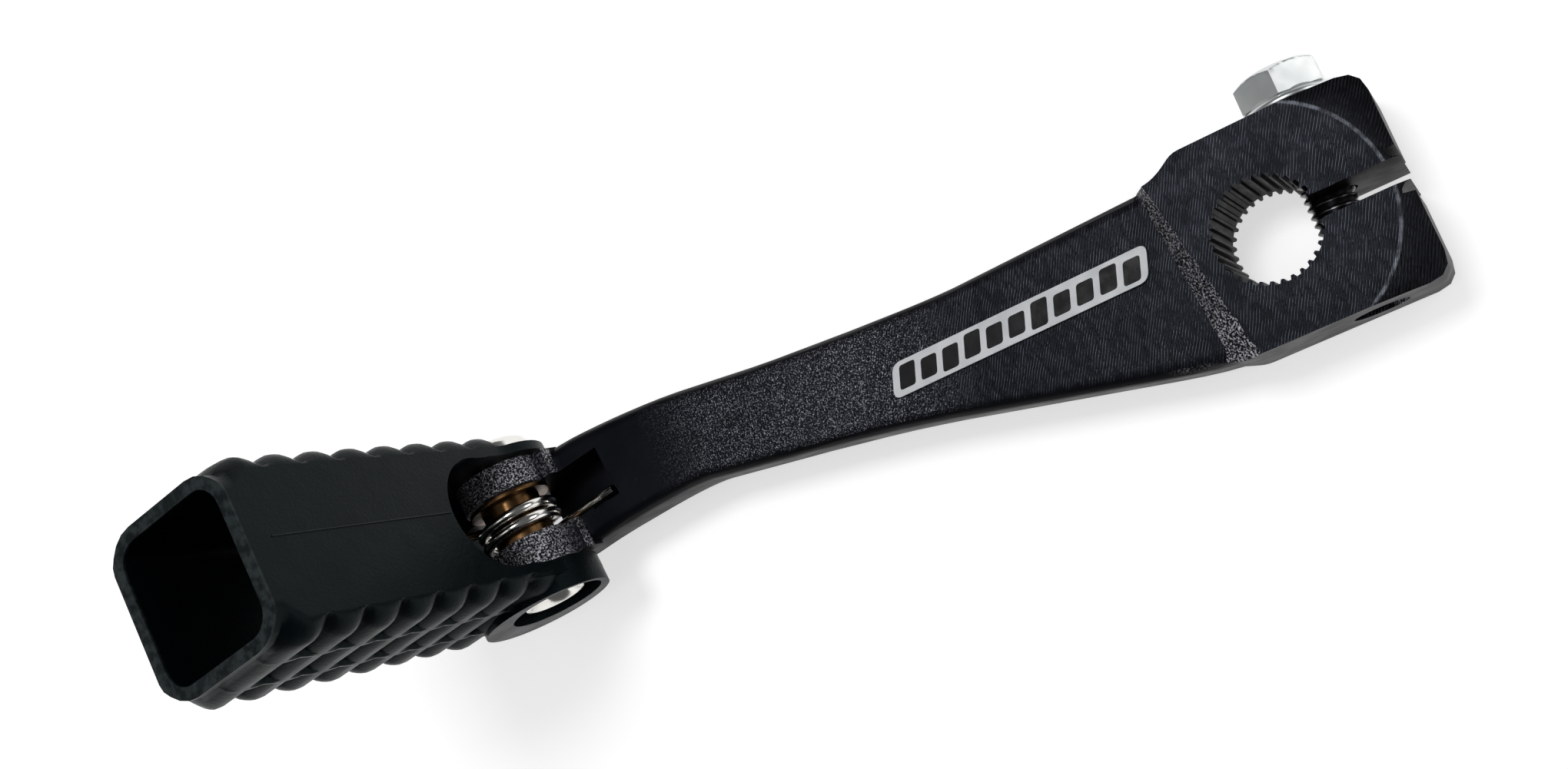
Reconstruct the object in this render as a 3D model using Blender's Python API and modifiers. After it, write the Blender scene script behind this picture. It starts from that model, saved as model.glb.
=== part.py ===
"""Gear shift lever with a folding toe peg.

Frame: origin on the axis of the splined bore, in the plane of the clamp's back face. +Z runs out along the
shaft axis, the arm reaches along -X, and the clamp's slit opens towards +X. The pinch bolt's head is on +Y.
All sizes below are in millimetres and are scaled by MM where geometry is made.
"""

import math

import bmesh
import bpy
from mathutils import Matrix, Vector

MM = 0.001
GAP = 0.3                       # clearance between neighbouring pieces

# Clamp
CLAMP_HALF_HEIGHT = 12.7
CLAMP_DEPTH = 15.6
CLAMP_END_X = 16.2
CLAMP_END_R = 2.8               # the jaws' outer corners
CLAMP_ROOT_R = 0.9
CLAMP_ROOT_X = -10.6            # where the clamp's forging starts to widen
RAMP_TOP_X = -8.5               # the drop from the clamp's face to the arm's, at y = 0
RAMP_TOP_SLANT = -0.195         # how far its upper line moves along X per millimetre of Y
RAMP_FOOT_X = -10.85
RAMP_FOOT_SLANT = -0.105
SPLINE_TEETH = 32
SPLINE_ROOT_R = 6.4
SPLINE_TIP_R = 5.95
SLIT_WIDTH = 2.9
FACED_R = 14.5                  # the turned face; outside it the jaws slope back
FACED_SLOPE = 0.42

# Pinch bolt
BOLT_X = 7.3
BOLT_Z = 7.8
BOLT_R = 3.0
BOLT_HEX_AF = 9.7
BOLT_FLANGE_R = 5.6
BOLT_FLANGE_H = 1.3
BOLT_HEX_H = 3.7
BOLT_HEX_TURN = 30.0
BOLT_TIP_Y = -10.8

# Arm
ARM_FACE_Z = 13.4
ARM_BACK_Z = 2.6                # back face at the clamp
ARM_BACK_RISE = 0.018           # how much the back rises per millimetre towards the toe
ARM_LOW_R = 2.2
ARM_HIGH_R = 1.8
ARM_TOP = [(-2.0, 10.9), (-10.0, 10.8), (-30.0, 10.4), (-42.0, 10.35), (-63.5, 11.9), (-81.0, 13.9)]
ARM_BOTTOM = [(-81.0, 1.0), (-73.0, 0.2), (-51.0, -3.3), (-31.0, -7.7), (-12.0, -12.0), (-2.0, -12.4)]

# Toe pivot: the toe frame stands on the pin's axis and is turned about Z
PIN_X = -105.4
PIN_Y = 5.6
PIN_Z = 15.7
TOE_YAW = math.radians(8.0)
FORK_HALF_WIDTH = 7.5
FORK_NECK = 7.2                 # half width of the arm just behind the knuckles
FORK_PAD_X = 8.0                # the pad the knuckles stand on ends in a low step
FORK_PAD_Z = -0.6
HEEL_X = -11.5                  # the fork's end, which stops the peg
HEEL_LOW_Z = -8.6
KNUCKLE_R = 5.95
SLOT_LOW_Y = -3.2
SLOT_HIGH_Y = 3.9
SLOT_END_X = 14.2
SLOT_STEP = 0.1                 # the blind end of the slot is this much narrower on each side
SLOT_FLOOR_Z = 6.6
SPRING_SHELF_Z = 10.6
SPRING_POCKET = 3.2             # the shallow corner of the slot that holds the spring's leg
SPRING_POCKET_Y = -1.3

# Toe peg, in its own frame: u is the distance from the pin along the peg
PEG_LEAN = math.radians(4.2)
PEG_LENGTH = 53.0
PEG_BACK_X = -14.0
PEG_FRONT_X = 5.8
PEG_HALF_WIDTH = 11.5           # over the ribs
PEG_MOUTH_HALF = 10.5           # at the open end, beyond the last rib
PEG_MOUTH_U = 51.7
PEG_WALL = 1.6
PEG_CORNER_R = 2.4              # along the ribbed part
PEG_MOUTH_CORNER_R = 4.8
EAR_R = 9.0
EAR_CENTRE = (-2.0, -0.3)       # the ears' round end is not centred on the pin
EAR_INNER_Y = 7.8
EAR_OUTER_Y = 9.2               # the ear under the rivet's head
EARS_END_U = 12.0
TUBE_START_U = 3.2
NOTCH_U = 11.5
NOTCH_R = 7.9
RECESS_R = 6.4
RECESS_FLOOR_Y = 10.4
SPOT_FACE_Y = 9.1
RIM_Y = 12.0
RIB_COUNT = 8
RIB_PITCH = 6.0
RIB_DEPTH = 1.5
FIRST_RIB_U = 48.8
RIDGE_X = (-7.4, -0.8)          # the two ridges that run along each ribbed side
RIDGE_HALF = 0.45

# Rivet, bush and spring
RIVET_R = 3.0
RIVET_HEAD_R = 5.8
RIVET_HEAD_H = 2.5
RIVET_TAIL_R = 4.5
BUSH_R = 4.1
BUSH_FLANGE_R = 5.7
SPRING_R = 5.2
SPRING_WIRE_R = 0.7
SPRING_PITCH = 1.75
SPRING_TIP_Z = 12.5
SPRING_START = -80.0            # degrees around the coil where the arm's leg joins it
SPRING_END = -163.3 - 2 * 360   # where the wire leaves the coil for the peg

# Decal
DECAL_T = 0.25
DECAL_X = (-49.4, -14.6)
DECAL_HEIGHT = 4.2
DECAL_Y = (0.1, 0.5)            # the lower edge's height at its left and right ends
DECAL_SLANT = 1.4


def clear_scene():
    for obj in list(bpy.data.objects):
        bpy.data.objects.remove(obj, do_unlink=True)


def make_collection(name):
    collection = bpy.data.collections.new(name)
    bpy.context.scene.collection.children.link(collection)
    return collection


def make_material(name, colour, roughness, metallic):
    material = bpy.data.materials.new(name)
    material.use_nodes = True
    shader = material.node_tree.nodes["Principled BSDF"]
    shader.inputs["Base Color"].default_value = (*colour, 1.0)
    shader.inputs["Roughness"].default_value = roughness
    shader.inputs["Metallic"].default_value = metallic
    material.diffuse_color = (*colour, 1.0)
    return material


def add_object(name, mesh, collection, material=None):
    obj = bpy.data.objects.new(name, mesh)
    collection.objects.link(obj)
    if material:
        mesh.materials.append(material)
    return obj


def finish_piece(obj, angle=40):
    obj.data.shade_smooth()
    obj.data.set_sharp_from_angle(angle=math.radians(angle))


def as_cutter(obj):
    obj.hide_render = True
    obj.display_type = "WIRE"
    return obj


def boolean(obj, other, operation="DIFFERENCE"):
    modifier = obj.modifiers.new(operation.lower(), "BOOLEAN")
    modifier.operation = operation
    modifier.object = other
    return modifier


def applied_mesh(obj):
    """The object's mesh with its modifiers applied, in the object's own space."""
    graph = bpy.context.evaluated_depsgraph_get()
    graph.update()
    return bpy.data.meshes.new_from_object(obj.evaluated_get(graph))


def outline_mesh(name, points, low, high):
    """A flat outline in XY, in millimetres, extruded from z = low to z = high."""
    curve = bpy.data.curves.new(name, "CURVE")
    curve.dimensions = "2D"
    curve.fill_mode = "BOTH"
    curve.extrude = (high - low) / 2 * MM
    spline = curve.splines.new("POLY")
    spline.points.add(len(points) - 1)
    for point, (x, y) in zip(spline.points, points):
        point.co = (x * MM, y * MM, 0, 1)
    spline.use_cyclic_u = True
    obj = bpy.data.objects.new(name, curve)
    bpy.context.scene.collection.objects.link(obj)
    mesh = applied_mesh(obj)
    bpy.data.objects.remove(obj)
    bpy.data.curves.remove(curve)
    mesh.transform(Matrix.Translation((0, 0, (low + high) / 2 * MM)))
    weld(mesh)
    return mesh


def weld(mesh, distance=0.00001):
    shape = bmesh.new()
    shape.from_mesh(mesh)
    bmesh.ops.remove_doubles(shape, verts=shape.verts, dist=distance)
    bmesh.ops.recalc_face_normals(shape, faces=shape.faces)
    shape.to_mesh(mesh)
    shape.free()


def box_mesh(name, low, high):
    shape = bmesh.new()
    bmesh.ops.create_cube(shape, size=1)
    size = Vector(high) - Vector(low)
    centre = (Vector(high) + Vector(low)) / 2
    bmesh.ops.scale(shape, vec=size * MM, verts=shape.verts)
    bmesh.ops.translate(shape, vec=centre * MM, verts=shape.verts)
    mesh = bpy.data.meshes.new(name)
    shape.to_mesh(mesh)
    shape.free()
    return mesh


def cylinder_mesh(name, radius, low, high, axis="Z", centre=(0, 0), segments=48, radius_high=None):
    """A cylinder or cone along axis, from low to high; centre holds the other two coordinates in order."""
    shape = bmesh.new()
    bmesh.ops.create_cone(
        shape, cap_ends=True, segments=segments, radius1=radius * MM,
        radius2=(radius if radius_high is None else radius_high) * MM, depth=(high - low) * MM)
    turn = {"Z": Matrix.Identity(4), "Y": Matrix.Rotation(math.radians(-90), 4, "X"),
            "X": Matrix.Rotation(math.radians(90), 4, "Y")}[axis]
    middle = (low + high) / 2
    place = {"Z": (centre[0], centre[1], middle), "Y": (centre[0], middle, centre[1]),
             "X": (middle, centre[0], centre[1])}[axis]
    bmesh.ops.transform(shape, matrix=Matrix.Translation(Vector(place) * MM) @ turn, verts=shape.verts)
    mesh = bpy.data.meshes.new(name)
    shape.to_mesh(mesh)
    shape.free()
    return mesh


def turned_mesh(name, profile, steps=48):
    """A solid turned about Z from (radius, z) points that run down its outer side; the ends lie on the axis
    unless the profile is a closed loop."""
    mesh = bpy.data.meshes.new(name)
    shape = bmesh.new()
    verts = [shape.verts.new((r * MM, 0, z * MM)) for r, z in profile]
    closed = profile[0][0] > 0 and profile[-1][0] > 0
    pairs = list(zip(verts, verts[1:])) + ([(verts[-1], verts[0])] if closed else [])
    for first, second in pairs:
        shape.edges.new((first, second))
    shape.to_mesh(mesh)
    shape.free()
    obj = bpy.data.objects.new(name, mesh)
    bpy.context.scene.collection.objects.link(obj)
    screw = obj.modifiers.new("turn", "SCREW")
    screw.steps = steps
    screw.render_steps = steps
    screw.use_merge_vertices = True
    screw.merge_threshold = 0.00001
    turned = applied_mesh(obj)
    bpy.data.objects.remove(obj)
    weld(turned)
    return turned


def arc(centre, radius, start, end, count):
    """Points on a circle in degrees from start to end, both included."""
    angles = [math.radians(start + (end - start) * i / (count - 1)) for i in range(count)]
    return [(centre[0] + radius * math.cos(a), centre[1] + radius * math.sin(a)) for a in angles]


def rounded_box_outline(low_x, high_x, half_y, radius, count=7):
    corners = [((high_x - radius, half_y - radius), 0), ((low_x + radius, half_y - radius), 90),
               ((low_x + radius, -half_y + radius), 180), ((high_x - radius, -half_y + radius), 270)]
    return [p for centre, start in corners for p in arc(centre, radius, start, start + 90, count)]


def smooth_chain(points, per_span=6):
    """A Catmull-Rom curve through the points."""
    ends = [points[0]] + points + [points[-1]]
    chain = []
    for before, here, there, after in zip(ends, ends[1:], ends[2:], ends[3:]):
        for i in range(per_span):
            t = i / per_span
            chain.append(tuple(
                0.5 * (2 * b + (c - a) * t + (2 * a - 5 * b + 4 * c - d) * t * t
                       + (3 * b - a - 3 * c + d) * t ** 3)
                for a, b, c, d in zip(before, here, there, after)))
    return chain + [points[-1]]


def lofted_prism(name, levels):
    """A prism through levels of (u, outline); the outlines have the same number of points."""
    shape = bmesh.new()
    rings = [[shape.verts.new((x * MM, y * MM, u * MM)) for x, y in outline] for u, outline in levels]
    count = len(rings[0])
    for low, high in zip(rings, rings[1:]):
        for i in range(count):
            j = (i + 1) % count
            shape.faces.new((low[i], low[j], high[j], high[i]))
    bmesh.ops.triangulate(shape, faces=shape.faces)
    shape.faces.new(rings[0][::-1])
    shape.faces.new(rings[-1])
    bmesh.ops.recalc_face_normals(shape, faces=shape.faces)
    mesh = bpy.data.meshes.new(name)
    shape.to_mesh(mesh)
    shape.free()
    return mesh


def inset_outline(points, distance):
    """The closed outline moved inwards by distance; the outline runs clockwise."""
    moved = []
    for i, here in enumerate(points):
        before, here, after = Vector(points[i - 1]), Vector(here), Vector(points[(i + 1) % len(points)])
        back, ahead = (here - before).normalized(), (after - here).normalized()
        inward = Vector((back.y, -back.x)) + Vector((ahead.y, -ahead.x))
        moved.append(tuple(here - inward * distance / max(0.8, inward.length_squared / 2)))
    return moved


def toe_matrix():
    """From the toe frame, with its origin on the pin, to the lever's frame."""
    return (Matrix.Translation(Vector((PIN_X, PIN_Y, PIN_Z)) * MM) @ Matrix.Rotation(TOE_YAW, 4, "Z"))


def in_lever_frame(x, y):
    """A point of the toe frame, in millimetres, seen in the lever's plan."""
    cos, sin = math.cos(TOE_YAW), math.sin(TOE_YAW)
    return (PIN_X + x * cos - y * sin, PIN_Y + x * sin + y * cos)


def spline_outline():
    """The bore's outline: a root, a flank, a tip and a flank for each tooth."""
    points = []
    step = 2 * math.pi / SPLINE_TEETH
    for tooth in range(SPLINE_TEETH):
        for radius, part in ((SPLINE_ROOT_R, -0.22), (SPLINE_ROOT_R, 0.22), (SPLINE_TIP_R, 0.36),
                             (SPLINE_TIP_R, 0.64)):
            angle = (tooth + part) * step
            points.append((radius * math.cos(angle), radius * math.sin(angle)))
    return points


def slit_outline():
    """The slit, with its jaws' corners rounded off where it opens."""
    half, round_off = SLIT_WIDTH / 2, 1.4
    angles = [math.radians(a) for a in (90, 60, 30, 8)]
    lip = [(CLAMP_END_X - round_off * math.cos(a), half + round_off * (1 - math.sin(a))) for a in angles]
    lip = [(4, half)] + lip + [(CLAMP_END_X + 4, half + round_off + 0.4)]
    return lip + [(x, -y) for x, y in reversed(lip)]


def build_lever_arm(parts, cutters, material):
    top = smooth_chain(ARM_TOP + [in_lever_frame(11, FORK_NECK), in_lever_frame(4, FORK_NECK)])
    bottom = smooth_chain([in_lever_frame(4, -FORK_NECK), in_lever_frame(11, -FORK_NECK)] + ARM_BOTTOM)
    outline = top + [in_lever_frame(-4, FORK_NECK), in_lever_frame(-4, -FORK_NECK)] + bottom
    levels = []
    for angle in range(0, 91, 30):
        rise = ARM_LOW_R * (1 - math.cos(math.radians(angle)))
        inset = ARM_LOW_R * (1 - math.sin(math.radians(angle)))
        levels.append((ARM_BACK_Z + rise, inset_outline(outline, inset)))
    for angle in range(90, -1, -30):
        drop = ARM_HIGH_R * (1 - math.cos(math.radians(angle)))
        inset = ARM_HIGH_R * (1 - math.sin(math.radians(angle)))
        levels.append((ARM_FACE_Z - drop, inset_outline(outline, inset)))
    mesh = lofted_prism("lever_arm", levels)
    for vertex in mesh.vertices:
        if vertex.co.z < (ARM_BACK_Z + ARM_LOW_R + 0.1) * MM:
            vertex.co.z -= ARM_BACK_RISE * vertex.co.x
    arm = add_object("lever_arm", mesh, parts, material)

    clamp_outline = [(CLAMP_END_X, CLAMP_HALF_HEIGHT), (-6.2, CLAMP_HALF_HEIGHT), (-8.4, 11.3), (-10.0, 10.7),
                     (CLAMP_ROOT_X - 2.2, 10.5), (CLAMP_ROOT_X - 2.2, -11.0), (-8.0, -CLAMP_HALF_HEIGHT),
                     (CLAMP_END_X, -CLAMP_HALF_HEIGHT)]
    clamp_outline = round_corners(clamp_outline, [CLAMP_END_R] + [CLAMP_ROOT_R] * 6 + [CLAMP_END_R])
    clamp = add_object("clamp_block", outline_mesh("clamp_block", clamp_outline, 0, CLAMP_DEPTH), cutters)
    ramp = ramp_mesh()
    boolean(clamp, as_cutter(add_object("ramp_cutter", ramp, cutters)))
    boolean(arm, as_cutter(clamp), "UNION")

    barrel = cylinder_mesh("knuckle_barrel", KNUCKLE_R, -FORK_HALF_WIDTH, FORK_HALF_WIDTH, "Y")
    barrel.transform(toe_matrix())
    boolean(arm, as_cutter(add_object("knuckle_barrel", barrel, cutters)), "UNION")
    pad_half = FORK_HALF_WIDTH - 0.01
    pad_outline = [(HEEL_X, HEEL_LOW_Z + 2), (HEEL_X + 2, HEEL_LOW_Z), (2, HEEL_LOW_Z), (2, -4),
                   (FORK_PAD_X, -4), (FORK_PAD_X - 0.5, FORK_PAD_Z), (-4, FORK_PAD_Z), (HEEL_X, -2.4)]
    pad = outline_mesh("fork_pad", pad_outline, -pad_half, pad_half)
    pad.transform(toe_matrix() @ Matrix.Rotation(math.radians(90), 4, "X"))
    boolean(arm, as_cutter(add_object("fork_pad", pad, cutters)), "UNION")

    deep_end = SLOT_END_X - SPRING_POCKET
    low_y, high_y = SLOT_LOW_Y + SLOT_STEP, SLOT_HIGH_Y - SLOT_STEP
    deep_outline = [(-1, low_y), (deep_end, low_y), (deep_end, SPRING_POCKET_Y),
                    (SLOT_END_X, SPRING_POCKET_Y), (SLOT_END_X, high_y), (-1, high_y)]
    cuts = {
        "slot_through_cutter": box_mesh("slot_through_cutter", (-15, SLOT_LOW_Y, -18), (1, SLOT_HIGH_Y, 14)),
        "slot_cutter": outline_mesh("slot_cutter", deep_outline, SLOT_FLOOR_Z - PIN_Z, 14),
        "spring_pocket_cutter": box_mesh(
            "spring_pocket_cutter", (deep_end - 1, SLOT_LOW_Y - 0.2, SPRING_SHELF_Z - PIN_Z),
            (SLOT_END_X + 0.25, SPRING_POCKET_Y + 1, 14)),
        "pin_hole_cutter": cylinder_mesh("pin_hole_cutter", RIVET_R + GAP, -15, 15, "Y", segments=40),
    }
    for name, cut in cuts.items():
        cut.transform(toe_matrix())
        boolean(arm, as_cutter(add_object(name, cut, cutters)))
    cuts = {
        "bore_cutter": outline_mesh("bore_cutter", spline_outline(), -2, CLAMP_DEPTH + 2),
        "slit_cutter": outline_mesh("slit_cutter", slit_outline(), -2, 20),
        "bolt_hole_cutter": cylinder_mesh("bolt_hole_cutter", BOLT_R + GAP, -20, 20, "Y", (BOLT_X, BOLT_Z),
                                          segments=40),
        "jaw_slope_cutter": jaw_slope_mesh(),
    }
    for name, cut in cuts.items():
        boolean(arm, as_cutter(add_object(name, cut, cutters)))
    return arm


def ramp_mesh():
    """What leaves the slanting ramp between the clamp's face and the arm's."""
    drop = CLAMP_DEPTH - ARM_FACE_Z

    def corner(y, z):
        low = (CLAMP_DEPTH - z) / drop          # 0 at the clamp's face, 1 at the arm's
        x = RAMP_TOP_X + (RAMP_FOOT_X - RAMP_TOP_X) * low
        return x + (RAMP_TOP_SLANT + (RAMP_FOOT_SLANT - RAMP_TOP_SLANT) * low) * y

    shape = bmesh.new()
    far_x = RAMP_TOP_X - 14
    steps = 8
    rings = []
    for i in range(steps + 1):
        y = -16 + 32 * i / steps
        low_z, high_z = ARM_FACE_Z - 0.4, CLAMP_DEPTH + 2.5
        section = [(corner(y, high_z), high_z), (corner(y, low_z), low_z), (far_x, low_z), (far_x, high_z)]
        rings.append([shape.verts.new((x * MM, y * MM, z * MM)) for x, z in section])
    for near, far in zip(rings, rings[1:]):
        for i in range(4):
            j = (i + 1) % 4
            shape.faces.new((near[i], near[j], far[j], far[i]))
    shape.faces.new(rings[0])
    shape.faces.new(rings[-1])
    bmesh.ops.triangulate(shape, faces=shape.faces)
    bmesh.ops.recalc_face_normals(shape, faces=shape.faces)
    mesh = bpy.data.meshes.new("ramp_cutter")
    shape.to_mesh(mesh)
    shape.free()
    return mesh


def jaw_slope_mesh():
    """What slopes the jaws back outside the turned face: half a ring with a wedge section."""
    reach = 24.0
    drop = (reach - FACED_R) * FACED_SLOPE
    section = [(FACED_R, CLAMP_DEPTH), (FACED_R, CLAMP_DEPTH + 4), (reach, CLAMP_DEPTH + 4),
               (reach, CLAMP_DEPTH - drop)]
    shape = bmesh.new()
    start, end, steps = math.radians(-75), math.radians(75), 30
    outward = Vector((math.cos(start), math.sin(start), 0))
    verts = [shape.verts.new((outward * r + Vector((0, 0, z))) * MM) for r, z in section]
    face = shape.faces.new(verts)
    bmesh.ops.spin(shape, geom=[face] + list(face.edges) + verts, axis=(0, 0, 1), cent=(0, 0, 0),
                   angle=end - start, steps=steps)
    bmesh.ops.recalc_face_normals(shape, faces=shape.faces)
    mesh = bpy.data.meshes.new("jaw_slope_cutter")
    shape.to_mesh(mesh)
    shape.free()
    return mesh


def round_corners(points, radii, count=4):
    """The closed outline with each corner cut by a short curve that starts its own radius away."""
    rounded = []
    for i, (here, radius) in enumerate(zip(points, radii)):
        before, after = Vector(points[i - 1]), Vector(points[(i + 1) % len(points)])
        here = Vector(here)
        back = here + (before - here).normalized() * radius
        ahead = here + (after - here).normalized() * radius
        for step in range(count):
            t = step / (count - 1)
            rounded.append(tuple((1 - t) ** 2 * back + 2 * t * (1 - t) * here + t * t * ahead))
    return rounded


def build_pinch_bolt(parts, cutters, material):
    """Made standing along Z with the seat of its flange at z = 0, then laid along Y."""
    top = BOLT_FLANGE_H + BOLT_HEX_H
    shank_end = BOLT_TIP_Y - CLAMP_HALF_HEIGHT - GAP
    profile = [(0, BOLT_FLANGE_H + 0.5), (4.8, BOLT_FLANGE_H + 0.5), (BOLT_FLANGE_R - 0.2, 0.8),
               (BOLT_FLANGE_R, 0.5), (BOLT_FLANGE_R, 0.1), (BOLT_FLANGE_R - 0.1, 0), (BOLT_R, 0),
               (BOLT_R, shank_end + 0.8), (BOLT_R - 0.8, shank_end), (0, shank_end)]
    bolt = add_object("pinch_bolt", turned_mesh("pinch_bolt", profile), parts, material)
    prism = cylinder_mesh("bolt_hexagon", BOLT_HEX_AF / math.sqrt(3), 0.4, top, segments=6)
    hexagon = add_object("bolt_hexagon", prism, cutters)
    hexagon.data.transform(Matrix.Rotation(math.radians(BOLT_HEX_TURN), 4, "Z"))
    dome = [(0, top), (3.9, top - 0.1), (4.9, top - 0.45), (5.5, top - 1.1), (6.2, top - 2.2), (6.2, 0),
            (0, 0)]
    boolean(hexagon, as_cutter(add_object("bolt_dome", turned_mesh("bolt_dome", dome), cutters)), "INTERSECT")
    boolean(bolt, as_cutter(hexagon), "UNION")
    place = (Matrix.Translation(Vector((BOLT_X, CLAMP_HALF_HEIGHT + GAP, BOLT_Z)) * MM)
             @ Matrix.Rotation(math.radians(-90), 4, "X"))
    for obj in (bolt, hexagon, bpy.data.objects["bolt_dome"]):
        obj.matrix_world = place
    return bolt


def peg_side_outline():
    """The ears seen along the pin, up to where they are inside the tube's walls."""
    front_x = PEG_FRONT_X - 0.1
    front = smooth_chain([(front_x - 0.1, EARS_END_U), (front_x, 9.0), (front_x, 5.6)], 4)
    end = arc(EAR_CENTRE, EAR_R, 27, -108, 18)
    back = [(-10.5, -8.6), (PEG_BACK_X + 1.1, -7.9), (PEG_BACK_X + 0.2, -6.8)]
    return [(PEG_BACK_X + 0.2, EARS_END_U)] + front[:-1] + end + back


def rib_depth(u):
    """How far the ribbed sides drop below the ribs' crests at u: round-backed ribs with sharp valleys."""
    rib = min(max(round((FIRST_RIB_U - u) / RIB_PITCH), 0), RIB_COUNT - 1)
    t = min(1.0, abs(u - FIRST_RIB_U + rib * RIB_PITCH) / (RIB_PITCH / 2))
    depth = PEG_HALF_WIDTH - PEG_MOUTH_HALF if u > FIRST_RIB_U else RIB_DEPTH
    return depth * t ** 2.2


def peg_ring(u):
    """One closed outline of the peg's outside, at u."""
    blend = min(1.0, max(0.0, (u - FIRST_RIB_U) / (RIB_PITCH / 2)))
    radius = PEG_CORNER_R + (PEG_MOUTH_CORNER_R - PEG_CORNER_R) * blend
    ring = []
    for across, along in ((1, 1), (-1, 1), (-1, -1), (1, -1)):
        start = {(1, 1): 0, (-1, 1): 90, (-1, -1): 180, (1, -1): 270}[across, along]
        centre_x = PEG_FRONT_X - radius if across > 0 else PEG_BACK_X + radius
        for x, y in arc((centre_x, along * (PEG_HALF_WIDTH - radius)), radius, start, start + 90, 6):
            weight = min(1.0, 1.6 * (abs(y) - PEG_HALF_WIDTH + radius) / radius)
            ring.append((x, y - along * rib_depth(u) * weight))
        if across * along > 0:
            ridges = sorted(RIDGE_X, reverse=along > 0)
            for ridge in ridges:
                for offset in (-RIDGE_HALF, -RIDGE_HALF / 3, RIDGE_HALF / 3, RIDGE_HALF):
                    drop = rib_depth(u) * (1 if abs(offset) == RIDGE_HALF else 0.12 + 0.88 * blend)
                    ring.append((ridge - along * offset, along * (PEG_HALF_WIDTH - drop)))
    return ring


def peg_levels():
    per_rib = 8
    lowest = FIRST_RIB_U - (RIB_COUNT - 0.5) * RIB_PITCH
    levels = [TUBE_START_U] + [lowest + i * RIB_PITCH / per_rib for i in range(RIB_COUNT * per_rib + 1)]
    return [(u, peg_ring(u)) for u in levels + [PEG_LENGTH]]


def build_toe_peg(parts, cutters, material):
    peg = add_object("toe_peg", lofted_prism("toe_peg", peg_levels()), parts, material)
    ears = outline_mesh("peg_ears", peg_side_outline(), -EAR_OUTER_Y, PEG_HALF_WIDTH - RIB_DEPTH - 0.1)
    ears.transform(Matrix.Rotation(math.radians(90), 4, "X"))
    boolean(peg, as_cutter(add_object("peg_ears", ears, cutters)), "UNION")
    boss = cylinder_mesh("ear_boss", EAR_R - 0.02, -RIM_Y, -EAR_INNER_Y - 0.4, "Y", EAR_CENTRE)
    boolean(peg, as_cutter(add_object("ear_boss", boss, cutters)), "UNION")
    seam_section = [(0.2, 0), (0, 0.12), (-0.2, 0), (0, -0.4)]
    seam = outline_mesh("peg_seam", seam_section, NOTCH_U + NOTCH_R + 0.4, PEG_MOUTH_U - 2.4)
    seam.transform(Matrix(((0, 1, 0, PEG_FRONT_X * MM), (1, 0, 0, 0.6 * MM), (0, 0, 1, 0), (0, 0, 0, 1))))
    weld(seam)
    boolean(peg, as_cutter(add_object("peg_seam", seam, cutters)), "UNION")

    inner_end = PEG_MOUTH_HALF - PEG_WALL
    inner = {half: rounded_box_outline(PEG_BACK_X + PEG_WALL, PEG_FRONT_X - PEG_WALL, half, 3.0)
             for half in (EAR_INNER_Y - 0.1, inner_end - 0.6, inner_end + 0.1)}
    narrow, middle, wide = inner.values()
    hollow_levels = [(-20, narrow), (9, narrow), (24, middle), (PEG_LENGTH + 5, wide)]
    cuts = {
        "peg_hollow": lofted_prism("peg_hollow", hollow_levels),
        "peg_foot": box_mesh("peg_foot", (PEG_BACK_X + PEG_WALL, -EAR_INNER_Y - 0.1, -20),
                             (12, EAR_INNER_Y + 0.1, 8)),
        "peg_notch": box_mesh("peg_notch", (0, -EAR_INNER_Y, -20), (20, EAR_INNER_Y, NOTCH_U)),
        "peg_arch": cylinder_mesh("peg_arch", NOTCH_R, 0.7, 20, "X", (0, NOTCH_U), segments=60),
        "peg_pin_hole": cylinder_mesh("peg_pin_hole", RIVET_R + GAP, -15, 15, "Y", segments=40),
        "peg_recess": cylinder_mesh("peg_recess", RECESS_R, -15, -RECESS_FLOOR_Y, "Y"),
        "peg_spot_face": cylinder_mesh("peg_spot_face", RIVET_HEAD_R + 0.8, SPOT_FACE_Y, 15, "Y"),
    }
    for name, cut in cuts.items():
        boolean(peg, as_cutter(add_object(name, cut, cutters)))
    place = toe_matrix() @ Matrix.Rotation(-PEG_LEAN, 4, "Y")
    peg.matrix_world = place
    for name in ["peg_ears", "ear_boss", "peg_seam"] + list(cuts):
        bpy.data.objects[name].matrix_world = place
    return peg


def lay_on_pin(obj):
    """Places a piece made along Z so that its +Z lies along the pin's +Y."""
    obj.matrix_world = toe_matrix() @ Matrix.Rotation(math.radians(-90), 4, "X")
    return obj


def build_pivot_rivet(parts, material):
    head_seat, tail = SPOT_FACE_Y + GAP, -RECESS_FLOOR_Y - GAP
    dome = RIVET_HEAD_H - 0.9
    head = [(RIVET_HEAD_R * math.cos(math.radians(a)), head_seat + 0.9 + dome * math.sin(math.radians(a)))
            for a in range(90, -1, -15)]
    head[0] = (0, head[0][1])
    profile = head + [(RIVET_HEAD_R, head_seat), (RIVET_R, head_seat), (RIVET_R, tail),
                      (RIVET_TAIL_R - 0.2, tail), (RIVET_TAIL_R, tail - 0.2),
                      (RIVET_TAIL_R - 0.3, tail - 0.6), (RIVET_TAIL_R - 0.9, tail - 0.7),
                      (2.5, tail + 0.1), (2.1, tail + 1.2), (2.1, tail + 4.5), (0, tail + 5.3)]
    rivet = add_object("pivot_rivet", turned_mesh("pivot_rivet", profile), parts, material)
    return lay_on_pin(rivet)


def build_pivot_bush(parts, material):
    low, high = SLOT_LOW_Y + GAP, SLOT_HIGH_Y - GAP
    inner = RIVET_R + GAP
    profile = [(inner, high), (BUSH_FLANGE_R, high), (BUSH_FLANGE_R, high - 0.6), (BUSH_R, high - 0.6),
               (BUSH_R, low), (inner, low)]
    bush = add_object("pivot_bush", turned_mesh("pivot_bush", profile), parts, material)
    return lay_on_pin(bush)


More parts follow.
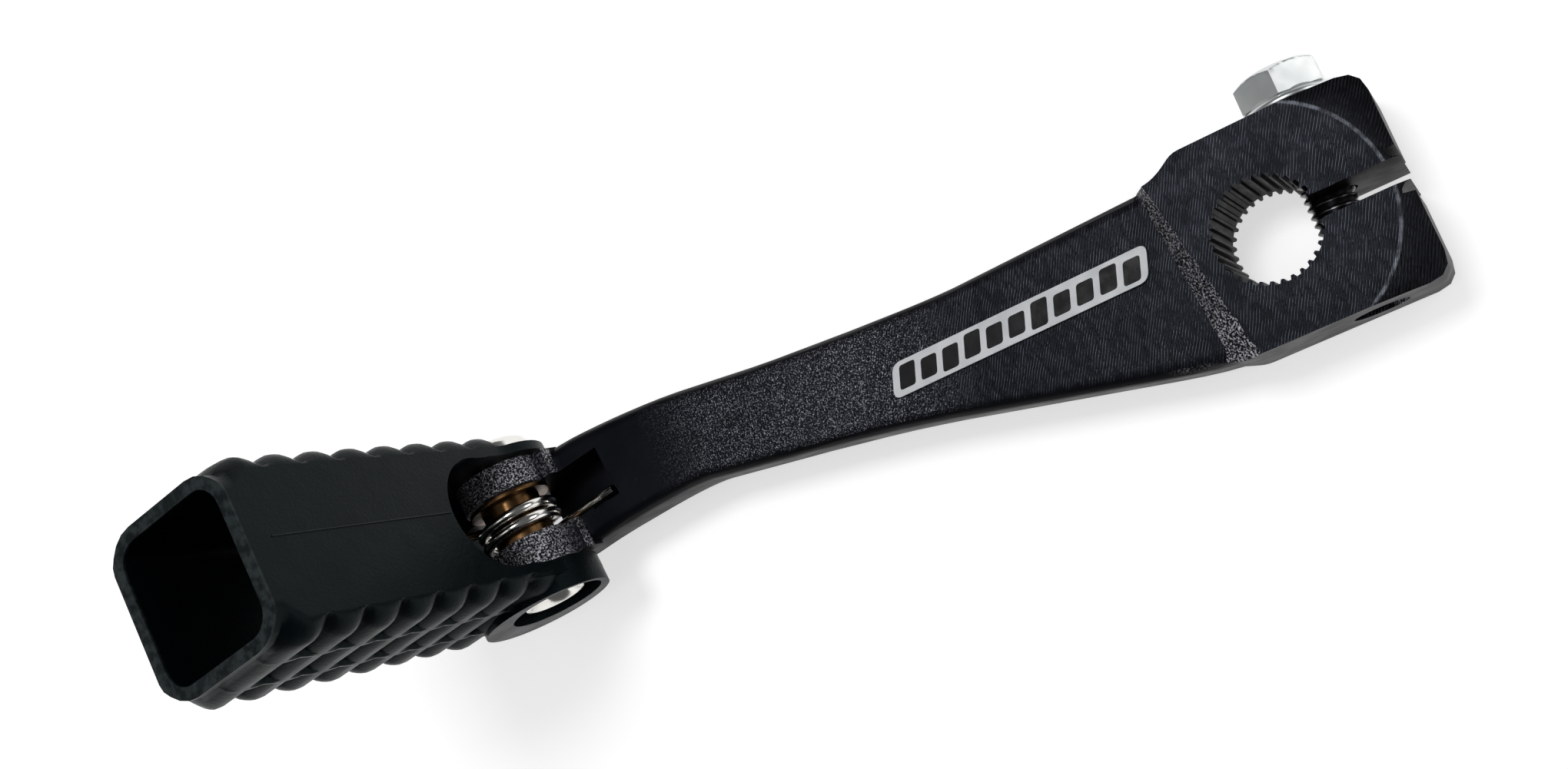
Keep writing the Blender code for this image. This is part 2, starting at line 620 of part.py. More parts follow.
def spring_path():
    """Centre line in the toe frame: the leg in the arm's slot, the coils about Y, the leg inside the peg."""
    slot_y = SLOT_LOW_Y + SPRING_WIRE_R + GAP
    leg_end = Vector((SLOT_END_X - 0.7, slot_y, SPRING_TIP_Z - PIN_Z))
    turns = abs(SPRING_END - SPRING_START) / 360
    steps = int(turns * 24)

    def on_coil(i):
        angle = math.radians(SPRING_START + (SPRING_END - SPRING_START) * i / steps)
        return Vector((SPRING_R * math.cos(angle), slot_y + SPRING_PITCH * turns * i / steps,
                       SPRING_R * math.sin(angle)))

    coil = [on_coil(i) for i in range(steps + 1)]
    leg = [leg_end, leg_end.lerp(coil[0], 0.35), leg_end.lerp(coil[0], 0.7), leg_end.lerp(coil[0], 0.9)]
    rest = Vector((PEG_BACK_X + PEG_WALL + SPRING_WIRE_R + 0.9, coil[-1].y, 18.0))
    return leg + coil + [coil[-1].lerp(rest, t) for t in (0.1, 0.4, 0.7, 1.0)]


def build_return_spring(parts, material):
    path = spring_path()
    curve = bpy.data.curves.new("spring_wire", "CURVE")
    curve.dimensions = "3D"
    curve.bevel_depth = SPRING_WIRE_R * MM
    curve.bevel_resolution = 2
    curve.use_fill_caps = True
    spline = curve.splines.new("POLY")
    spline.points.add(len(path) - 1)
    for point, place in zip(spline.points, path):
        point.co = (*(place * MM), 1)
    wire = bpy.data.objects.new("spring_wire", curve)
    bpy.context.scene.collection.objects.link(wire)
    mesh = applied_mesh(wire)
    bpy.data.objects.remove(wire)
    weld(mesh)
    mesh.name = "return_spring"
    spring = add_object("return_spring", mesh, parts, material)
    spring.matrix_world = toe_matrix()
    return spring


def build_arm_decal(parts, material):
    left, right = DECAL_X
    low_left, low_right = DECAL_Y
    corners = [(left, low_left), (right, low_right), (right + DECAL_SLANT, low_right + DECAL_HEIGHT),
               (left + DECAL_SLANT, low_left + DECAL_HEIGHT)]
    low = ARM_FACE_Z + GAP
    mesh = outline_mesh("arm_decal", round_corners(corners, [1.2] * 4, 6), low, low + DECAL_T)
    return add_object("arm_decal", mesh, parts, material)


def main():
    clear_scene()
    parts = make_collection("gear_shift_lever")
    cutters = make_collection("cutters")
    anodised = make_material("anodised_aluminium", (0.018, 0.02, 0.024), 0.42, 0.6)
    cast = make_material("cast_aluminium", (0.045, 0.052, 0.055), 0.5, 0.4)
    zinc = make_material("zinc_plated_steel", (0.62, 0.64, 0.64), 0.28, 1.0)
    steel = make_material("bright_steel", (0.7, 0.69, 0.66), 0.22, 1.0)
    bronze = make_material("bronze", (0.55, 0.36, 0.14), 0.35, 1.0)
    print_white = make_material("printed_film", (0.8, 0.8, 0.82), 0.5, 0.0)

    finish_piece(build_lever_arm(parts, cutters, anodised))
    finish_piece(build_pinch_bolt(parts, cutters, zinc))
    finish_piece(build_toe_peg(parts, cutters, cast))
    finish_piece(build_pivot_rivet(parts, steel))
    finish_piece(build_pivot_bush(parts, bronze))
    finish_piece(build_return_spring(parts, steel))
    finish_piece(build_arm_decal(parts, print_white))


main()
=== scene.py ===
"""Looks of the gear shift lever: finishes, finer pieces, floor, lights and camera.

Sizes of pieces are in millimetres and are scaled by MM; those that materials use are in metres.
"""
import math

import bpy
import bmesh
from mathutils import Matrix, Vector


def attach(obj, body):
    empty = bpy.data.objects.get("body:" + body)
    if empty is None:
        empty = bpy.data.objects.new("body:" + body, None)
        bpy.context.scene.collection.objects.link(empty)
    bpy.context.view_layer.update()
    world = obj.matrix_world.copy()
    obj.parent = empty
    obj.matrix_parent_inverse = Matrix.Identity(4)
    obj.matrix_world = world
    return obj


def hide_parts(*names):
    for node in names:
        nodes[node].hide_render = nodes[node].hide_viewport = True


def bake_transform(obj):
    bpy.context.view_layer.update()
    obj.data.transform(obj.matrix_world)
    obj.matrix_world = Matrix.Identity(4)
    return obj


MM = 0.001
TAU = 2 * math.pi

# Zones of the arm's finish, in metres
SPARKLE_X = (-0.086, -0.074, -0.050, -0.036)    # the blasted zone, with its painted glints, fades in, and out over the last two
TOOL_LINE_X = (-0.058, -0.036)                  # the tool lines fade in towards the clamp
RAMP_X = (-0.018, -0.0145)
KNUCKLE_X = (-0.0985, -0.0969)
KNUCKLE_Z = (0.0149, 0.0156)
STEP_X = (-0.0995, -0.0955)
STEP_Z = (0.0132, 0.0136)
STEP_FADE = 0.0005
BORE_REACH = 0.0066
FACED_REACH = 0.0145                            # radius where the jaws start to slope
JAWS_X = (0.002, 0.004)
LINE_PITCH = 0.00034
LINE_DIRECTION = math.radians(29)
UNLIT = (0.002, 0.002, 0.003, 1.0)              # painted shade on the sloped jaws and on the bore's wall

# Peg's finish: the direction along the peg, and how far along it the rim's painted highlight starts, in
# metres
PEG_AXIS = (-0.0725, -0.0102, 0.9973)
PEG_RIM = 0.0758

# Toe frame, as in the CAD; the angles of the spring are in degrees
PIN = (-105.4, 5.6, 15.7)
TOE_YAW = math.radians(8.0)
SLOT_LOW_Y = -3.2
SLOT_END_X = 14.2
SPRING_TIP_Z = 12.5
GAP = 0.3
SPRING_R = 5.2
SPRING_WIRE_R = 0.7
SPRING_PITCH = 1.75
SPRING_START = -80.0
SPRING_END = -163.3 - 2 * 360
SPRING_TAIL_Z = 18.0
SPRING_TAIL_GAP = 0.9           # between the tail of the spring and the peg's inner back face
PEG_INNER_BACK_X = -12.4

# Pinch bolt, made along Z with the seat of its flange at z = 0
BOLT_AT = (7.3, 13.0, 7.8)
BOLT_R = 3.0
THREAD_DEPTH = 0.5
BOLT_HEX_AF = 9.7
BOLT_HEX_TURN = 30.0
BOLT_FLANGE_R = 5.6
BOLT_FLANGE_H = 1.3
BOLT_HEX_H = 3.7
BOLT_HEX_CORNER_R = 5.62
BOLT_END = -23.8
SHANK_TOP = 0.4
SHANK_ROWS = 12                 # per millimetre
THREAD_START = -3.0
SHANK_PLAIN_DEPTH = 0.1

# Decal
DECAL_LEFT = -49.4
DECAL_RIGHT = -14.6
DECAL_LOW_LEFT = 0.1
DECAL_LOW_RIGHT = 0.5
DECAL_HEIGHT = 4.2
DECAL_SLANT = 1.4
DECAL_TOP_Z = 13.95
BAR_COUNT = 11
BAR_WIDTH = 0.70                # as a share of each bar's pitch
BAR_CORNER = 0.42
BAR_SINK = 0.05                 # how far the bars reach into the film
BAR_RISE = 0.03

# Edge roundings given to the CAD pieces
ARM_EDGE = 0.3
PEG_EDGE = 0.3
RIVET_EDGE = 0.1
BUSH_EDGE = 0.08
DECAL_EDGE = 0.04

# Stage, in metres and watts
FLOOR_Z = -0.0004
FLOOR_HALF = 1.5
LIGHTS = (
    ("key_softbox", (-0.04, 0.12, 0.52), (-0.05, 0.0, 0.0), (0.12, 0.10), 0.95),
    ("top_softbox", (-0.08, 0.02, 0.60), (-0.05, 0.0, 0.0), (0.50, 0.40), 0.62),
    ("left_strip", (-0.42, -0.02, 0.10), (-0.08, 0.0, 0.01), (0.30, 0.10), 0.22),
    ("right_strip", (0.30, 0.02, 0.14), (-0.02, 0.0, 0.01), (0.25, 0.12), 0.26),
)                               # name, place, target, width and height, power
WORLD_COLOUR = (0.95, 0.97, 1.0, 1.0)
WORLD_STRENGTH = 0.10
FLOOR_GLOW = 0.62

# Camera
CAMERA_PLACE = (0.019980, -0.031644, 0.208535)
CAMERA_ROTATION = (0.050109, 0.417655, -0.398028)
CAMERA_LENS = 38.645
CAMERA_SHIFT = (-0.02284, -0.0315)

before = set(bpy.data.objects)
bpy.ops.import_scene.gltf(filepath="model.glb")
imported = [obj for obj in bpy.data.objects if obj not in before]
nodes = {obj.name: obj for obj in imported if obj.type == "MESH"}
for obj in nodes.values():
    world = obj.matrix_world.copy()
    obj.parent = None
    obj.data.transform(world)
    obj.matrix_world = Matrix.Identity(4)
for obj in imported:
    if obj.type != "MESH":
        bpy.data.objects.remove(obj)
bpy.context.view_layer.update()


class Finish:
    """A material with helpers that add its nodes and join them."""

    def __init__(self, name):
        self.material = bpy.data.materials.new(name)
        self.material.use_nodes = True
        self.tree = self.material.node_tree
        self.shader = self.tree.nodes["Principled BSDF"]
        self.place = self.tree.nodes.new("ShaderNodeTexCoord").outputs["Object"]
        self.height = None

    def add(self, kind, values=None, **settings):
        node = self.tree.nodes.new("ShaderNode" + kind)
        for key, value in settings.items():
            setattr(node, key, value)
        for key, value in (values or {}).items():
            self.put(node.inputs[key], value)
        return node

    def put(self, socket, value):
        if isinstance(value, bpy.types.NodeSocket):
            self.tree.links.new(value, socket)
        else:
            socket.default_value = value

    def math(self, operation, first, second=0.0, third=0.0):
        return self.add("Math", {0: first, 1: second, 2: third}, operation=operation).outputs[0]

    def noise(self, scale, detail, stretch=None):
        vector = self.place
        if stretch:
            vector = self.add("Mapping", {"Vector": vector, "Scale": stretch}).outputs[0]
        return self.add("TexNoise", {"Vector": vector, "Scale": scale, "Detail": detail}).outputs["Fac"]

    def span(self, value, low, high, to_low=0.0, to_high=1.0):
        """Eases from to_low to to_high while value goes from low to high."""
        values = {"Value": value, "From Min": low, "From Max": high, "To Min": to_low, "To Max": to_high}
        return self.add("MapRange", values, interpolation_type="SMOOTHSTEP").outputs[0]

    def times(self, *factors):
        product = factors[0]
        for factor in factors[1:]:
            product = self.math("MULTIPLY", product, factor)
        return product

    def ramp(self, value, stops):
        node = self.add("ValToRGB", {"Fac": value})
        elements = node.color_ramp.elements
        while len(elements) < len(stops):
            elements.new(0.5)
        for element, (position, colour) in zip(elements, stops):
            element.position = position
            element.color = (*colour, 1.0)
        return node.outputs[0]

    def mix(self, factor, first, second):
        node = self.add("Mix", data_type="RGBA")
        for socket, value in zip((node.inputs[0], node.inputs[6], node.inputs[7]), (factor, first, second)):
            self.put(socket, value)
        return node.outputs[2]

    def set(self, **values):
        for key, value in values.items():
            self.put(self.shader.inputs[key.replace("_", " ")], value)

    def bump(self, height, distance):
        """Adds a layer of relief, distance metres high, over the ones already there."""
        values = {"Height": height, "Distance": distance, "Strength": 1.0}
        if self.height:
            values["Normal"] = self.height
        self.height = self.add("Bump", values).outputs[0]
        self.put(self.shader.inputs["Normal"], self.height)


def anodised_finish():
    """Black anodised forging: tool lines on its faces, a blasted zone with painted glints, a grainy ramp
    and knuckles with a painted highlight, a painted highlight round the clamp's faced ring, and painted
    shade on its sides, sloped jaws and bore.
    """
    f = Finish("visual_anodised")
    x, y, z = f.add("SeparateXYZ", {0: f.place}).outputs
    nx, _, nz = f.add("SeparateXYZ", {0: f.add("NewGeometry").outputs["True Normal"]}).outputs

    # Masks, from 0 outside a zone to 1 in it
    up = f.span(nz, 0.80, 0.97)
    sparkle = f.times(f.span(x, *SPARKLE_X[:2]), f.span(x, *SPARKLE_X[2:], 1.0, 0.0), up)
    lined = f.times(f.span(x, *TOOL_LINE_X), up)
    slope = f.times(f.span(nx, -0.05, -0.3), f.span(nz, 0.25, 0.5))
    ramp = f.times(slope, f.span(nz, 0.97, 0.9), f.span(x, *RAMP_X))
    knuckle = f.times(f.span(x, KNUCKLE_X[1], KNUCKLE_X[0]), f.span(z, *KNUCKLE_Z))
    step = f.times(f.span(nx, 0.5, 0.8), f.span(x, STEP_X[0], STEP_X[0] + STEP_FADE),
                   f.span(x, STEP_X[1] - STEP_FADE, STEP_X[1], 1.0, 0.0), f.span(z, *STEP_Z))
    # Grainy cast zones (ramp, knuckles and step): bumped below, and given a painted highlight where light
    # falls on them
    rough_lit = f.math("MAXIMUM", f.math("MAXIMUM", knuckle, step), ramp)
    tilted = f.times(f.span(nz, 0.84, 0.6), f.math("SUBTRACT", 1.0, rough_lit))

    # Tool lines: a wave along LINE_DIRECTION, made uneven
    along = f.math("ADD", f.times(x, math.cos(LINE_DIRECTION)), f.times(y, -math.sin(LINE_DIRECTION)))
    wander = f.times(f.noise(55.0, 1.0), 0.0016)
    jitter = f.times(f.noise(900.0, 2.0, (0.25, 0.25, 1.0)), 0.00040)
    phase = f.math("ADD", f.math("ADD", along, wander), jitter)
    lines = f.span(f.math("SINE", f.times(phase, TAU / LINE_PITCH)), -1.0, 1.0)
    lines = f.times(lines, f.span(f.noise(1300.0, 3.0, (1.0, 0.5, 1.0)), 0.3, 0.65, 0.35, 1.0), lined)

    coarse = f.noise(4200.0, 3.0)
    f.bump(lines, 0.00009)
    f.bump(f.times(coarse, rough_lit), 0.00022)
    f.bump(f.times(f.noise(3600.0, 3.0), sparkle), 0.00010)
    f.bump(f.noise(5200.0, 2.0), 0.000012)

    base = f.ramp(f.noise(90.0, 3.0), [(0.3, (0.0050, 0.0060, 0.0092)), (0.7, (0.0066, 0.0078, 0.0112))])
    base = f.mix(f.times(f.span(lines, 0.4, 0.95), 0.75), base, (0.048, 0.053, 0.066, 1.0))
    # Painted glints: light specks painted over the blasted zone
    painted_glint = f.span(f.noise(5200.0, 3.0), 0.50, 0.68)
    base = f.mix(f.times(painted_glint, sparkle, 0.75), base, (0.23, 0.235, 0.27, 1.0))
    # Painted highlight: the grainy ramp, knuckles and step are painted near white in patches, standing in
    # for the light on them
    painted_highlight = f.times(rough_lit, f.span(coarse, 0.46, 0.66), 0.8)
    base = f.mix(painted_highlight, base, (0.75, 0.74, 0.80, 1.0))
    dust = f.span(f.noise(700.0, 4.0), 0.66, 0.8, 0.0, 0.12)
    base = f.mix(dust, base, (0.12, 0.12, 0.13, 1.0))
    # Painted shade: faces turned away from straight up are painted near black
    base = f.mix(tilted, base, (0.003, 0.003, 0.0035, 1.0))

    # Clamp: painted shade beyond its faced ring and within its bore, and a painted highlight along the ring
    from_axis = f.math("SQRT", f.math("ADD", f.times(x, x), f.times(y, y)))
    jaws = f.times(f.span(x, *JAWS_X), f.span(nz, 0.80, 0.88))
    # Painted shade: the sloped jaws beyond the faced ring are painted near black
    outer_shade = f.times(f.span(from_axis, FACED_REACH, FACED_REACH + 0.0002), jaws, 0.55)
    base = f.mix(outer_shade, base, UNLIT)
    # Painted highlight: a light band painted along the edge of the faced ring
    off_ring = f.math("ABSOLUTE", f.math("SUBTRACT", from_axis, FACED_REACH))
    ring = f.times(f.span(off_ring, 0.00030, 0.00010), jaws,
                   f.span(f.noise(600.0, 3.0), 0.35, 0.65, 0.1, 0.7))
    base = f.mix(ring, base, (0.16, 0.17, 0.20, 1.0))
    # Painted shade: the bore's wall is painted near black
    bore_shade = f.times(f.span(from_axis, BORE_REACH, BORE_REACH + 0.0003, 1.0, 0.0), f.span(nz, 0.6, 0.3))
    base = f.mix(bore_shade, base, UNLIT)

    # Painted shade: side walls and bore lose their reflection and stay black when seen at a low angle
    shade = f.math("MAXIMUM", bore_shade, f.times(tilted, 0.92))
    f.set(Base_Color=base, Metallic=f.times(f.math("SUBTRACT", 1.0, shade), 0.75))
    f.set(Roughness=f.span(f.noise(240.0, 4.0), 0.3, 0.7, 0.34, 0.44))
    f.set(Specular_IOR_Level=f.math("MULTIPLY_ADD", shade, -0.28, 0.30))
    return f.material


def cast_finish():
    """The peg's satin black coating over a fine cast grain."""
    f = Finish("visual_cast")
    f.bump(f.noise(2400.0, 4.0), 0.000035)
    f.bump(f.noise(210.0, 2.0), 0.00006)
    out = f.add("VectorMath", {0: f.place, 1: PEG_AXIS}, operation="DOT_PRODUCT").outputs["Value"]
    rim = f.span(out, PEG_RIM, PEG_RIM + 0.0004)
    base = f.ramp(f.noise(60.0, 3.0), [(0.3, (0.0010, 0.0020, 0.0026)), (0.7, (0.0016, 0.0030, 0.0036))])
    # Painted highlight: the rim is painted lighter, in patches
    rim_highlight = f.times(rim, f.span(f.noise(800.0, 3.0), 0.35, 0.65, 0.15, 0.6))
    base = f.mix(rim_highlight, base, (0.045, 0.055, 0.058, 1.0))
    f.set(Base_Color=base, Metallic=0.0, Specular_IOR_Level=0.09, Specular_Tint=(0.72, 0.95, 1.0, 1.0))
    f.set(Roughness=f.span(f.noise(300.0, 4.0), 0.3, 0.7, 0.30, 0.40))
    return f.material


def metal_finish(name, dark, light, roughness, bump=0.000006):
    """A plated or polished metal with faint cloudiness."""
    f = Finish(name)
    f.bump(f.noise(2600.0, 3.0), bump)
    base = f.ramp(f.noise(160.0, 4.0), [(0.3, dark), (0.7, light)])
    f.set(Base_Color=base, Metallic=1.0)
    f.set(Roughness=f.span(f.noise(500.0, 4.0), 0.3, 0.7, *roughness))
    return f.material


def printed_finish(name, dark, light):
    """Dull printed film."""
    f = Finish(name)
    f.bump(f.noise(1800.0, 3.0), 0.000012)
    f.set(Base_Color=f.ramp(f.noise(400.0, 4.0), [(0.35, dark), (0.65, light)]), Metallic=0.0)
    f.set(Roughness=f.span(f.noise(700.0, 3.0), 0.3, 0.7, 0.35, 0.5), Specular_IOR_Level=0.12)
    return f.material


def floor_finish():
    """Pale paper that glows a little, so that shadows on it stay light."""
    f = Finish("floor_paper")
    f.bump(f.noise(900.0, 3.0), 0.00001)
    f.set(Base_Color=f.ramp(f.noise(3.0, 1.0), [(0.3, (0.66, 0.66, 0.66)), (0.7, (0.68, 0.68, 0.68))]))
    f.set(Roughness=f.span(f.noise(300.0, 2.0), 0.3, 0.7, 0.9, 1.0))
    f.set(Emission_Color=(1.0, 1.0, 1.0, 1.0), Emission_Strength=FLOOR_GLOW)
    return f.material


def dress(node, material, width):
    """A new finish for a CAD node, with its flat faces joined up and its edges eased."""
    obj = nodes[node]
    for slot in obj.material_slots:
        slot.material = material
    weld = obj.modifiers.new("joined", "WELD")
    weld.merge_threshold = 0.000002
    merge = obj.modifiers.new("flat_faces", "DECIMATE")
    merge.decimate_type = "DISSOLVE"
    merge.angle_limit = math.radians(0.6)
    bevel = obj.modifiers.new("eased_edges", "BEVEL")
    bevel.width = width * MM
    bevel.segments = 3
    bevel.limit_method = "ANGLE"
    bevel.angle_limit = math.radians(38)
    bevel.use_clamp_overlap = True
    normals = obj.modifiers.new("even_normals", "WEIGHTED_NORMAL")
    normals.weight = 80
    normals.keep_sharp = False


def mesh_object(name, shape, material, smooth=True, angle=35):
    mesh = bpy.data.meshes.new(name)
    bmesh.ops.recalc_face_normals(shape, faces=shape.faces)
    shape.to_mesh(mesh)
    shape.free()
    obj = bpy.data.objects.new(name, mesh)
    bpy.context.scene.collection.objects.link(obj)
    mesh.materials.append(material)
    if smooth:
        mesh.shade_smooth()
        mesh.set_sharp_from_angle(angle=math.radians(angle))
    return obj


def around_z(radius, angle, z):
    """A point at radius and height z, in millimetres, as the metres that meshes are made in."""
    return radius * MM * math.cos(angle), radius * MM * math.sin(angle), z * MM


def turned(shape, profile, steps=96):
    """Adds a solid turned about Z from (radius, z) points whose ends lie on the axis."""
    rings = []
    for r, z in profile[1:-1]:
        rings.append([shape.verts.new(around_z(r, TAU * i / steps, z)) for i in range(steps)])
    caps = [shape.verts.new((0, 0, profile[i][1] * MM)) for i in (0, -1)]
    join_rings(shape, rings)
    for ring, cap in ((rings[0], caps[0]), (rings[-1], caps[1])):
        for i in range(steps):
            shape.faces.new((ring[i], ring[(i + 1) % steps], cap))


def join_rings(shape, rings):
    for low, high in zip(rings, rings[1:]):
        count = len(low)
        for i in range(count):
            j = (i + 1) % count
            shape.faces.new((low[i], low[j], high[j], high[i]))


def close_tube(shape, rings):
    join_rings(shape, rings)
    shape.faces.new(rings[0])
    shape.faces.new(rings[-1])


def toe_matrix():
    return Matrix.Translation(Vector(PIN) * MM) @ Matrix.Rotation(TOE_YAW, 4, "Z")


def spring_path():
    """Points down the middle of the wire in the toe frame, and the coiled ones among them."""
    slot_y = SLOT_LOW_Y + SPRING_WIRE_R + GAP
    leg_end = Vector((SLOT_END_X - SPRING_WIRE_R, slot_y, SPRING_TIP_Z - PIN[2]))
    turns = abs(SPRING_END - SPRING_START) / 360
    steps = int(turns * 60)

    def on_coil(i):
        angle = math.radians(SPRING_START + (SPRING_END - SPRING_START) * i / steps)
        return Vector((SPRING_R * math.cos(angle), slot_y + SPRING_PITCH * turns * i / steps,
                       SPRING_R * math.sin(angle)))

    coil = [on_coil(i) for i in range(steps + 1)]
    leg = [leg_end.lerp(coil[0], t / 10) for t in range(10)]
    tail_end = Vector((PEG_INNER_BACK_X + SPRING_WIRE_R + SPRING_TAIL_GAP, coil[-1].y, SPRING_TAIL_Z))
    tail = [coil[-1].lerp(tail_end, t / 8) for t in range(1, 9)]
    return leg + coil + tail, coil


def build_spring(material):
    """Round wire swept along the spring's path, with rounded-off ends."""
    path, coil = spring_path()
    shape = bmesh.new()
    turns = [TAU * k / 16 for k in range(16)]
    rings = []
    side = Vector((0, 1, 0))
    for i, here in enumerate(path):
        ahead = (path[min(i + 1, len(path) - 1)] - path[max(i - 1, 0)]).normalized()
        side = (side - ahead * side.dot(ahead)).normalized()
        up = ahead.cross(side)
        radius = SPRING_WIRE_R * (0.8 if i in (0, len(path) - 1) else 1.0)
        points = [here + side * radius * math.cos(turn) + up * radius * math.sin(turn) for turn in turns]
        rings.append([shape.verts.new(point * MM) for point in points])
    close_tube(shape, rings)
    bmesh.ops.transform(shape, matrix=toe_matrix(), verts=shape.verts)
    spring = mesh_object("spring_wire", shape, material, angle=50)
    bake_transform(spring)
    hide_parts("return_spring")


def flange_shape():
    """Flange with a sloped top face and eased rims."""
    shape = bmesh.new()
    turned(shape, [(0, BOLT_FLANGE_H + 0.5), (4.6, BOLT_FLANGE_H + 0.35), (BOLT_FLANGE_R - 0.45, 0.95),
                   (BOLT_FLANGE_R - 0.15, 0.78), (BOLT_FLANGE_R, 0.5), (BOLT_FLANGE_R, 0.2),
                   (BOLT_FLANGE_R - 0.12, 0.05), (BOLT_FLANGE_R - 0.3, 0), (BOLT_R - 0.6, 0), (0, 0)])
    return shape


def shank_shape():
    """Shank with a cut M6 thread, one turn per millimetre, and a tapered end."""
    shape = bmesh.new()
    rings = []
    around = 48
    for i in range(int(-BOLT_END * SHANK_ROWS) + 1):
        z = SHANK_TOP - i / SHANK_ROWS
        taper = min(1.0, max(0.0, (z - BOLT_END) / 1.2))
        ring = []
        for k in range(around):
            phase = (z + k / around) % 1.0
            cut = THREAD_DEPTH * min(1.0, max(0.0, abs(phase - 0.5) * 2.6 - 0.25))
            depth = cut if z < THREAD_START else SHANK_PLAIN_DEPTH
            radius = (BOLT_R - depth) * (0.78 + 0.22 * taper)
            ring.append(shape.verts.new(around_z(radius, TAU * k / around, z)))
        rings.append(ring)
    close_tube(shape, rings)
    return shape


def hexagon_shape():
    """Hexagon whose corners are cut back at each height to that height's largest radius."""
    shape = bmesh.new()
    rings = []
    around = 144
    for z, corner in hexagon_levels(BOLT_FLANGE_H + BOLT_HEX_H):
        ring = []
        for k in range(around):
            angle = TAU * k / around
            across = (angle - math.radians(BOLT_HEX_TURN)) % (TAU / 6) - TAU / 12
            radius = min(BOLT_HEX_AF / 2 / math.cos(across), corner)
            ring.append(shape.verts.new(around_z(radius, angle, z)))
        rings.append(ring)
    close_tube(shape, rings)
    return shape


def hexagon_levels(top):
    """(z, largest radius) down the hexagon: a slightly domed end, its chamfer, then full corners."""
    levels = [(top - 0.02, 1.6), (top - 0.05, 3.0), (top - 0.12, 4.0), (top - 0.25, 4.45)]
    levels += [(top - 0.25 - 0.12 * i, 4.45 + 0.19 * i) for i in range(1, 7)]
    return levels + [(top - 1.6, BOLT_HEX_CORNER_R), (BOLT_FLANGE_H - 0.2, BOLT_HEX_CORNER_R)]


def bolt_piece(name, shape, material, angle):
    """Lays a shape made along Z along Y, where the pinch bolt goes."""
    place = Matrix.Translation(Vector(BOLT_AT) * MM) @ Matrix.Rotation(math.radians(-90), 4, "X")
    bmesh.ops.transform(shape, matrix=place, verts=shape.verts)
    return mesh_object(name, shape, material, angle=angle)


def build_bolt(plated, plated_in_shade):
    flange = bolt_piece("bolt_flange", flange_shape(), plated, 40)
    # The shank gets the darker copy of the zinc, its painted shade
    shank = bolt_piece("bolt_shank", shank_shape(), plated_in_shade, 28)
    head = bolt_piece("bolt_hexagon", hexagon_shape(), plated, 24)
    for obj in (shank, flange, head):
        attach(obj, "lever")
        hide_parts("pinch_bolt")


def decal_point(across, height):
    """A point of the decal: across runs 0..1 along it, height 0..1 up it."""
    x = DECAL_LEFT + (DECAL_RIGHT - DECAL_LEFT) * across + DECAL_SLANT * height
    y = DECAL_LOW_LEFT + (DECAL_LOW_RIGHT - DECAL_LOW_LEFT) * across + DECAL_HEIGHT * height
    return x, y


def build_decal_bars(material):
    """A row of slanted dark bars of uneven height on the light film."""
    shape = bmesh.new()
    for bar in range(BAR_COUNT):
        left = (bar + 0.33) / (BAR_COUNT + 0.35)
        width = BAR_WIDTH / BAR_COUNT
        tall = 0.87 if bar % 3 == 0 else 0.78
        low = 0.12 if bar % 4 == 2 else 0.18
        corners = [(left, low), (left + width, low), (left + width, tall), (left, tall)]
        outline = rounded([decal_point(*corner) for corner in corners], BAR_CORNER)
        rings = [[shape.verts.new((x * MM, y * MM, z * MM)) for x, y in outline]
                 for z in (DECAL_TOP_Z - BAR_SINK, DECAL_TOP_Z + BAR_RISE)]
        close_tube(shape, rings)
    bars = mesh_object("decal_bars", shape, material)
    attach(bars, "lever")


def rounded(points, radius):
    """The outline through points with each corner eased over radius by a six-point curve."""
    outline = []
    for i, here in enumerate(points):
        before, here, after = Vector(points[i - 1]), Vector(here), Vector(points[(i + 1) % len(points)])
        back = here + (before - here).normalized() * radius
        ahead = here + (after - here).normalized() * radius
        for step in range(6):
            t = step / 5
            outline.append(tuple((1 - t) ** 2 * back + 2 * t * (1 - t) * here + t * t * ahead))
    return outline


def area_light(name, place, target, size, power):
    light = bpy.data.lights.new(name, "AREA")
    light.shape = "RECTANGLE"
    light.size, light.size_y = size
    light.energy = power
    obj = bpy.data.objects.new(name, light)
    bpy.context.scene.collection.objects.link(obj)
    obj.location = place
    obj.rotation_mode = "QUATERNION"
    obj.rotation_quaternion = (Vector(target) - Vector(place)).to_track_quat("-Z", "Y")


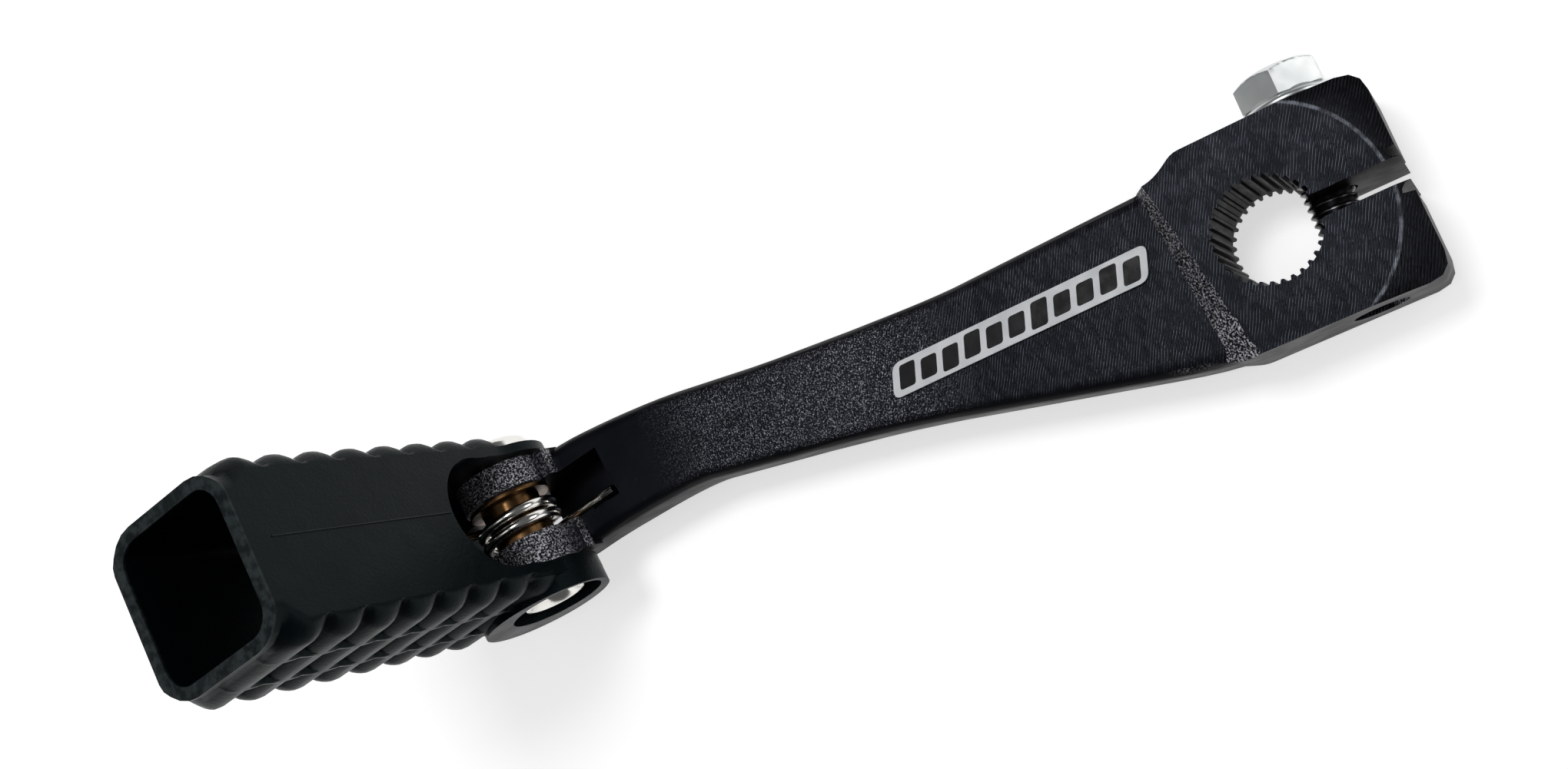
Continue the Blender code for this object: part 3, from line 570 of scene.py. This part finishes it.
def build_stage():
    shape = bmesh.new()
    bmesh.ops.create_grid(shape, x_segments=8, y_segments=8, size=FLOOR_HALF)
    bmesh.ops.translate(shape, vec=(0, 0, FLOOR_Z), verts=shape.verts)
    floor = mesh_object("floor", shape, floor_finish(), smooth=False)
    for light in LIGHTS:
        area_light(*light)
    world = bpy.data.worlds.new("studio")
    bpy.context.scene.world = world
    world.use_nodes = True
    background = world.node_tree.nodes["Background"]
    background.inputs["Color"].default_value = WORLD_COLOUR
    background.inputs["Strength"].default_value = WORLD_STRENGTH


def build_camera():
    camera = bpy.data.cameras.new("camera")
    camera.sensor_width = 36
    camera.lens = CAMERA_LENS
    camera.shift_x, camera.shift_y = CAMERA_SHIFT
    camera.clip_start = 0.01
    camera.clip_end = 20
    obj = bpy.data.objects.new("camera", camera)
    bpy.context.scene.collection.objects.link(obj)
    obj.location = CAMERA_PLACE
    obj.rotation_euler = CAMERA_ROTATION
    bpy.context.scene.camera = obj


anodised = anodised_finish()
cast = cast_finish()
zinc = metal_finish("visual_zinc", (0.62, 0.65, 0.65), (0.80, 0.82, 0.81), (0.33, 0.40), 0.0000015)
# Painted shade: a darker copy of the zinc for the bolt's shank, which lies in shade in the pinch slit
thread = metal_finish("visual_shaded_zinc", (0.06, 0.06, 0.065), (0.14, 0.14, 0.15), (0.25, 0.4))
steel = metal_finish("visual_steel", (0.74, 0.72, 0.68), (0.90, 0.88, 0.84), (0.14, 0.22), 0.000003)
bronze = metal_finish("visual_bronze", (0.07, 0.036, 0.015), (0.18, 0.10, 0.042), (0.22, 0.38))
film = printed_finish("visual_film", (0.62, 0.64, 0.66), (0.74, 0.75, 0.77))
ink = printed_finish("visual_ink", (0.004, 0.004, 0.005), (0.008, 0.008, 0.010))

dress("lever_arm", anodised, ARM_EDGE)
dress("toe_peg", cast, PEG_EDGE)
dress("pivot_rivet", steel, RIVET_EDGE)
dress("pivot_bush", bronze, BUSH_EDGE)
dress("arm_decal", film, DECAL_EDGE)
build_spring(steel)
build_bolt(zinc, thread)
build_decal_bars(ink)
build_stage()
build_camera()
bpy.context.scene.view_settings.view_transform = "Standard"
